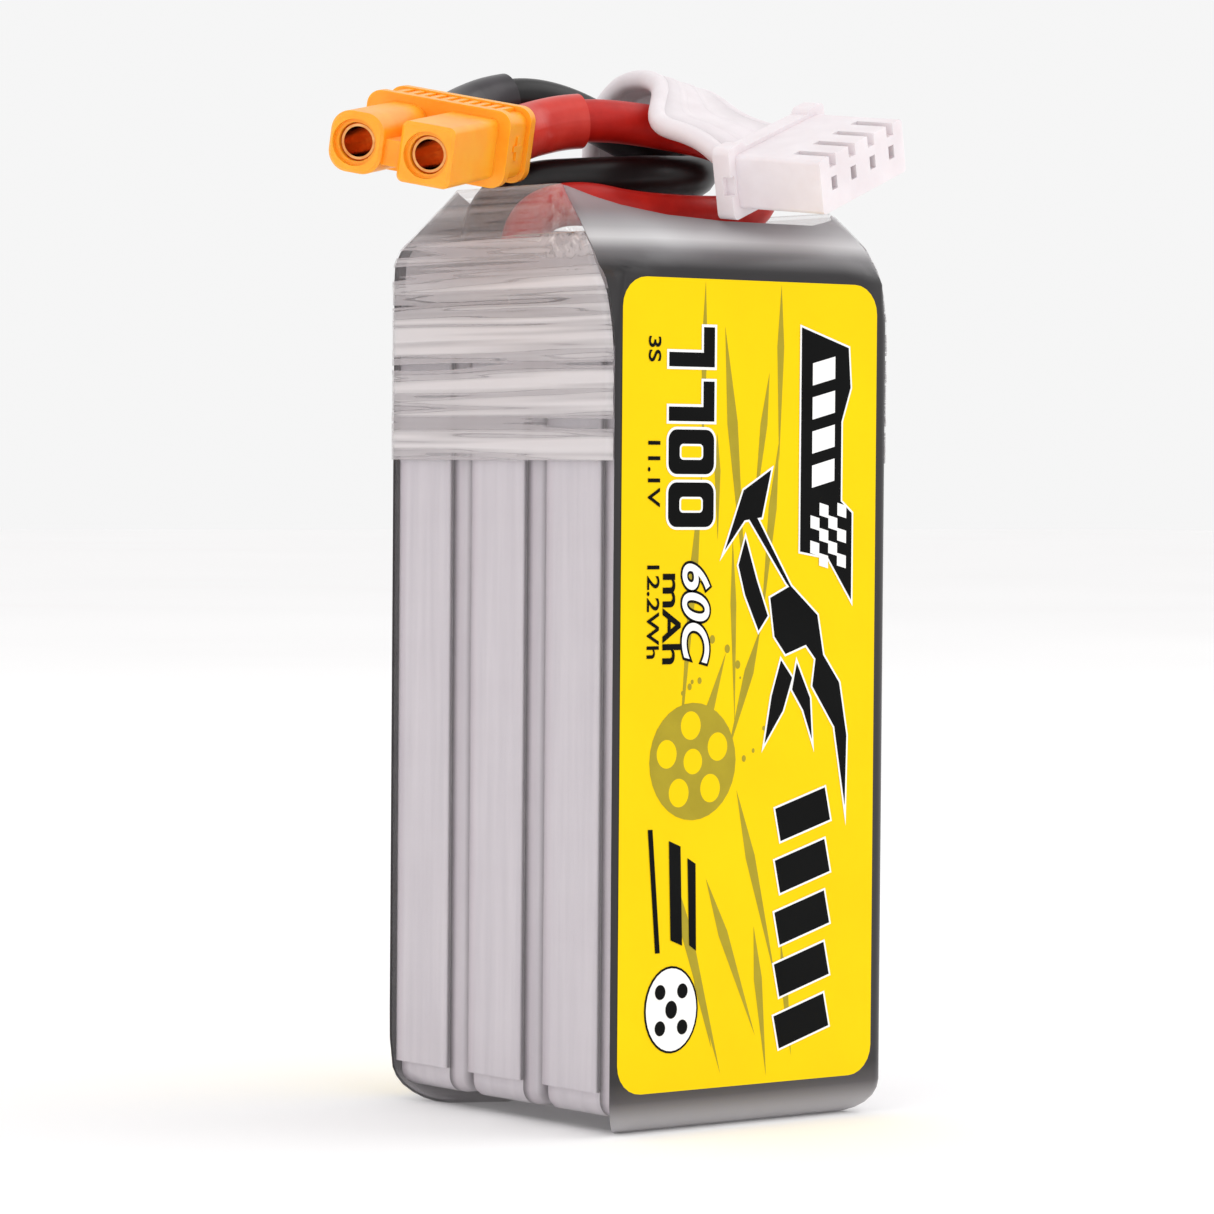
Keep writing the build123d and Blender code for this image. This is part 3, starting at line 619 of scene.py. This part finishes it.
# ---- Labels ----
# Yellow ink printed under the film, with plain numbers, slanted blocks and a streaked disc.
# Each mark is a thin layer of ink of its own, and the back carries the same print.
LABEL_X = (-11.41, 10.77)
LABEL_Z = (2.75, 56.6)
LABEL_CORNER = 2.0
LABEL_FACE = -12.61
INK = 0.009
LIFT = 0.04
yellow_ink, tree, shader, place = finish_of(
    "yellow_ink_under_film", Roughness=0.4, Specular_IOR_Level=0.1)
grain(tree, shader, place, "#f7d000", "#fad600", 9.0, bump=0.03, depth=0.05)
black_ink, tree, shader, place = finish_of(
    "black_ink_under_film", Roughness=0.4, Specular_IOR_Level=0.08)
grain(tree, shader, place, "#020202", "#0a0b0b", 9.0, (0.5, 1, 1), 0.03, 0.05)
white_ink, tree, shader, place = finish_of(
    "white_ink_under_film", Roughness=0.35, Specular_IOR_Level=0.25)
grain(tree, shader, place, "#f6f5f2", "#ffffff", 5.0, bump=0.03, depth=0.05)
olive_ink, tree, shader, place = finish_of(
    "olive_ink_under_film", Roughness=0.35, Specular_IOR_Level=0.25)
grain(tree, shader, place, "#a5931a", "#b09d1e", 2.0, bump=0.03, depth=0.05)


def ink_shape(points, layer, grow=0.0):
    """A flat mark from its outline in label millimetres, on a layer above the yellow."""
    flat = bpy.data.curves.new("mark", "CURVE")
    flat.dimensions = "2D"
    flat.fill_mode = "FRONT"
    flat.offset = grow
    spline = flat.splines.new("POLY")
    spline.points.add(len(points) - 1)
    for point, (x, z) in zip(spline.points, points):
        point.co = (x, z, 0, 1)
    spline.use_cyclic_u = True
    mark = bpy.data.objects.new("mark", flat)
    bpy.context.collection.objects.link(mark)
    return as_ink(mark, Matrix.Identity(4), layer)


def as_ink(mark, turned, layer):
    """Makes a flat curve or text a mesh, and lays it on the label's face."""
    select_only(mark)
    bpy.ops.object.convert(target="MESH")
    mark = bpy.context.object
    upright = Matrix.Rotation(math.radians(90), 4, "X")
    lift = Matrix.Translation((0, LABEL_FACE - INK * layer, 0))
    mark.data.transform(Matrix.Scale(MM, 4) @ lift @ upright @ turned)
    return mark


def ink_text(words, size, x, z, layer, grow=0.0, squeeze=1.0, slant=0.0):
    """Words that read down the label, their feet towards -X."""
    bpy.ops.object.text_add()
    mark = bpy.context.object
    mark.data.body = words
    mark.data.size = size
    mark.data.offset = grow
    mark.data.shear = slant
    down = Matrix.Translation((x, z, 0)) @ Matrix.Rotation(math.radians(-90), 4, "Z")
    return as_ink(mark, down @ Matrix.Diagonal((squeeze, 1, 1, 1)), layer)


def joined(marks, name, material):
    """One layer of ink from its marks."""
    clear_selection()
    for mark in marks:
        mark.select_set(True)
    bpy.context.view_layer.objects.active = marks[0]
    if len(marks) > 1:
        bpy.ops.object.join()
    layer = bpy.context.object
    layer.data.materials.clear()
    return placed(layer, name, material)


def rounded_box(low, high, corner):
    """An outline with quarter-turn corners."""
    points = []
    corners = ((high[0], high[1]), (low[0], high[1]), (low[0], low[1]), (high[0], low[1]))
    for number, (x, z) in enumerate(corners):
        centre_x = x - corner if x == high[0] else x + corner
        centre_z = z - corner if z == high[1] else z + corner
        for step in range(7):
            angle = math.radians(90 * number + 15 * step)
            points.append((
                centre_x + corner * math.cos(angle), centre_z + corner * math.sin(angle)))
    return points


def round_mark(x, z, radius_x, radius_z, layer, grow=0.0):
    """A flat ellipse of 32 short sides."""
    angles = [math.tau * side / 32 for side in range(32)]
    points = [(x + radius_x * math.cos(angle), z + radius_z * math.sin(angle)) for angle in angles]
    return ink_shape(points, layer, grow)


# Long tapered streaks down the label, as from a brush.
STREAKS = (
    (-4.4, 56.5, -4.6, 44.0, 0.5), (-4.6, 44.0, -6.4, 24.8, 0.7), (2.2, 56.4, 2.1, 44.5, 0.6),
    (2.1, 46.0, 0.6, 33.0, 0.7), (0.6, 33.4, -2.2, 25.0, 0.8), (-2.7, 53.5, -0.7, 35.2, 0.9),
    (1.2, 50.5, -0.1, 40.6, 0.6), (-1.9, 39.4, -1.6, 27.0, 0.5), (-3.3, 46.4, -3.2, 39.2, 0.5),
    (-2.4, 31.8, -6.3, 21.0, 0.7), (-1.4, 22.6, 2.2, 9.6, 0.8), (-4.0, 16.8, 0.4, 6.0, 0.8),
    (-7.2, 18.4, -2.6, 3.6, 0.9), (0.2, 13.4, 1.4, 3.2, 0.7), (-5.2, 12.0, -3.4, 5.4, 0.6),
    (2.6, 12.2, 3.6, 4.4, 0.6),
)
marks = []
for number, (x0, z0, x1, z1, width) in enumerate(STREAKS):
    half = Vector((z0 - z1, x1 - x0)).normalized() * width / 2
    middle = (x0 * 0.65 + x1 * 0.35, z0 * 0.65 + z1 * 0.35)
    outline = [(x0, z0), (middle[0] - half.x, middle[1] - half.y), (x1, z1),
               (middle[0] + half.x, middle[1] + half.y)]
    marks.append(ink_shape(outline, 1 + number * LIFT))
DISC_X, DISC_Z = -5.2, 24.6
marks.append(round_mark(DISC_X, DISC_Z, 3.7, 3.9, 1.8))
# Fine spatter round the disc's upper right, in seven rings and four sizes of dot.
DOTS, DOT_TURN = 26, 2.4
for step in range(DOTS):
    angle = step * DOT_TURN
    reach = 4.4 + (step % 7) * 0.75
    dot = 0.07 + 0.05 * (step % 4)
    x = DISC_X + 1.8 + reach * math.cos(angle) * 0.5
    z = DISC_Z + 3.2 + reach * math.sin(angle) * 0.6
    marks.append(round_mark(x, z, dot, dot * 1.3, 1 + (len(STREAKS) + step) * LIFT / 2))
streaks = joined(marks, "label_streaks", olive_ink)
spots = []
for step in range(5):
    angle = math.tau * step / 5 + 0.4
    x, z = DISC_X + 2.3 * math.cos(angle), DISC_Z + 2.4 * math.sin(angle)
    spots.append(round_mark(x, z, 0.85, 0.95, 2))
spots.append(round_mark(DISC_X, DISC_Z, 0.8, 0.85, 2))
disc_spots = joined(spots, "label_disc_spots", yellow_ink)

# Slanted blocks, blades and a chequered end, black with a white edge.
BLADES = (
    ((1.4, 44.0), (-1.0, 42.6), (-2.6, 38.6), (-0.9, 40.6), (0.6, 40.8), (1.0, 42.4)),
    ((-0.6, 42.0), (3.6, 35.6), (2.8, 36.4), (-0.9, 41.2)),
    ((-0.8, 39.4), (0.2, 36.6), (1.2, 34.2), (0.4, 33.2), (-0.8, 35.6), (-1.4, 37.6)),
    ((1.4, 35.4), (3.2, 36.2), (5.6, 34.2), (6.4, 30.2), (4.6, 32.2), (2.8, 31.6), (1.8, 32.8)),
    ((5.6, 32.2), (7.6, 29.6), (8.3, 26.0), (8.2, 21.2), (7.2, 26.6), (5.2, 29.4)),
    ((2.4, 31.2), (3.4, 30.0), (2.6, 27.8), (1.0, 25.6), (1.6, 28.8)),
    ((3.8, 31.0), (5.0, 28.6), (5.2, 25.8), (4.4, 27.8), (3.4, 29.2)),
)
SLANTS = [((2.0, z), (6.4, z + 1.3), (6.9, z - 0.9), (2.5, z - 2.2))
          for z in (21.2, 17.7, 14.2, 10.7, 7.2)]
EMBLEM = ((4.0, 53.6), (8.2, 52.3), (8.4, 49.6), (7.6, 47.3), (7.6, 41.9), (8.6, 41.1),
          (8.6, 35.2), (6.5, 38.1), (4.0, 38.5))
blocks = list(BLADES) + SLANTS + [EMBLEM]
halos = joined([ink_shape(block, 3 + number * LIFT, 0.14) for number, block in enumerate(blocks)],
               "label_block_edges", white_ink)
block_ink = joined([ink_shape(block, 4 + number * LIFT) for number, block in enumerate(blocks)],
                   "label_blocks", black_ink)
BARS = [((5.0, z), (7.0, z + 0.5), (7.0, z - 1.0), (5.0, z - 1.5))
        for z in (51.2, 48.9, 46.6, 44.3)]
squares = []
for row in range(5):
    for column in range(4):
        if (row + column) % 2:
            x, z = 4.9 + column * 0.8, 41.8 - row * 0.85
            squares.append(((x, z), (x + 0.8, z - 0.2), (x + 0.8, z - 1.05), (x, z - 0.85)))
emblem_bars = joined([ink_shape(bar, 5) for bar in BARS + squares], "label_emblem_bars", white_ink)

# Plain ratings: a big square-cut number, a small one with its unit, and a narrow column.
DIGIT_TOPS = (53.7, 50.1, 46.6, 43.1)
FOOT_X, HEAD_X, DIGIT, STROKE = -7.5, -3.6, 2.95, 0.95
strokes, hollows = [], []
for number, z in enumerate(DIGIT_TOPS):
    if number < 2:
        strokes.append((
            (HEAD_X, z - 0.3), (HEAD_X, z - DIGIT), (FOOT_X, z - DIGIT),
            (FOOT_X, z - DIGIT + STROKE), (HEAD_X - STROKE, z - DIGIT + STROKE),
            (HEAD_X - STROKE, z - 0.3)))
    else:
        strokes.append(rounded_box((FOOT_X, z - DIGIT), (HEAD_X, z), 0.7))
        hollows.append(rounded_box(
            (FOOT_X + STROKE, z - DIGIT + STROKE), (HEAD_X - STROKE, z - STROKE), 0.3))
number_edge = joined(
    [ink_shape(stroke, 3, 0.18) for stroke in strokes], "label_number_edge", white_ink)
number_ink = joined([ink_shape(stroke, 4) for stroke in strokes]
                    + [ink_text("mAh", 2.15, -7.85, 37.2, 4, 0.04, 1.5)], "label_number", black_ink)
number_eye_edge = joined(
    [ink_shape(hollow, 5) for hollow in hollows], "label_number_eye_edge", white_ink)
number_eye = joined(
    [ink_shape(hollow, 6, -0.14) for hollow in hollows], "label_number_eye", yellow_ink)
rate_edge = joined(
    [ink_text("60C", 3.2, -6.15, 38.0, 3, 0.2, 1.2, 0.2)], "label_rate_edge", black_ink)
rate = joined([ink_text("60C", 3.2, -6.15, 38.0, 4, 0.05, 1.2, 0.2)], "label_rate", white_ink)
ratings = joined([ink_text("3S", 1.45, -9.2, 52.8, 4, 0.02, 1.3),
                  ink_text("11.1V", 1.45, -9.2, 46.2, 4, 0.02, 1.4),
                  ink_text("12.2Wh", 1.45, -9.2, 38.0, 4, 0.02, 1.4)], "label_ratings", black_ink)
BADGE_X, BADGE_Z = -6.9, 8.2
BADGE_BARS = (
    ((-9.0, 20.2), (-8.6, 20.2), (-7.9, 12.0), (-8.3, 12.0)),
    ((-7.2, 19.4), (-6.2, 19.0), (-6.0, 12.4), (-7.0, 12.8)),
    ((-5.6, 18.2), (-4.9, 17.8), (-4.8, 12.0), (-5.4, 12.4)),
)
badge_edge = joined([round_mark(BADGE_X, BADGE_Z, 2.3, 2.9, 3)], "label_badge_edge", black_ink)
badge = joined([round_mark(BADGE_X, BADGE_Z, 2.15, 2.75, 4)], "label_badge", white_ink)
badge_spots = [round_mark(BADGE_X + 0.95 * sx, BADGE_Z + 1.2 * sz, 0.45, 0.5, 5)
               for sx in (-1, 1) for sz in (-1, 1)]
badge_spots.append(round_mark(BADGE_X, BADGE_Z, 0.5, 0.6, 5))
badge_marks = joined(badge_spots + [ink_shape(bar, 4) for bar in BADGE_BARS],
                     "label_badge_marks", black_ink)
label_outline = rounded_box((LABEL_X[0], LABEL_Z[0]), (LABEL_X[1], LABEL_Z[1]), LABEL_CORNER)
label_base = joined([ink_shape(label_outline, 0)], "label_base", yellow_ink)

prints = [label_base, streaks, disc_spots, halos, block_ink, emblem_bars, number_edge, number_ink,
          number_eye_edge, number_eye, rate_edge, rate, ratings, badge_edge, badge, badge_marks]
for mark in prints:
    rear = mark.copy()
    rear.data = mark.data.copy()
    rear.data.transform(Matrix.Rotation(math.pi, 4, "Z"))
    bpy.context.collection.objects.link(rear)
    rear.name = mark.name.replace("label_", "rear_label_")
    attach(rear, "root")
    if mark is label_base:
        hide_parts("front_label")
        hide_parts("back_label")

# ---- Floor and light ----
# A wide flat white floor and large soft lamps: one high on the left, one overhead for the shoulder's
# highlight, and a weak one low on the right.
floor_tone, tree, shader, place = finish_of(
    "matt_white_paper", Roughness=0.9, Emission_Color=(1, 1, 1, 1), Emission_Strength=0.06)
grain(tree, shader, place, "#f7f6f6", "#fbfafa", 200.0, bump=0.0)
clear_selection()
bpy.ops.mesh.primitive_plane_add(size=6)
floor = bpy.context.object
floor.name = "floor"
floor.data.materials.append(floor_tone)

# Each lamp's place and size in metres, and its power in watts. All aim at the pack's middle.
LAMPS = (
    ((-0.6, -0.1, 0.4), 0.5, 0.6),
    ((0.5, -0.23, 0.62), 0.6, 1.6),
    ((-0.05, -0.7, 0.3), 0.5, 0.35),
)
AIM = Vector((0, 0, 0.035))
SKY_STRENGTH = 0.92
for number, (spot, size, power) in enumerate(LAMPS):
    bpy.ops.object.light_add(type="AREA", location=spot)
    lamp = bpy.context.object
    lamp.name = f"soft_lamp_{number + 1}"
    lamp.data.size = size
    lamp.data.energy = power
    lamp.rotation_euler = (AIM - Vector(spot)).to_track_quat("-Z", "Y").to_euler()
world = bpy.data.worlds.new("white_studio")
world.use_nodes = True
world.node_tree.nodes["Background"].inputs["Color"].default_value = (1, 1, 1, 1)
world.node_tree.nodes["Background"].inputs["Strength"].default_value = SKY_STRENGTH
bpy.context.scene.world = world
bpy.context.scene.view_settings.view_transform = "Standard"
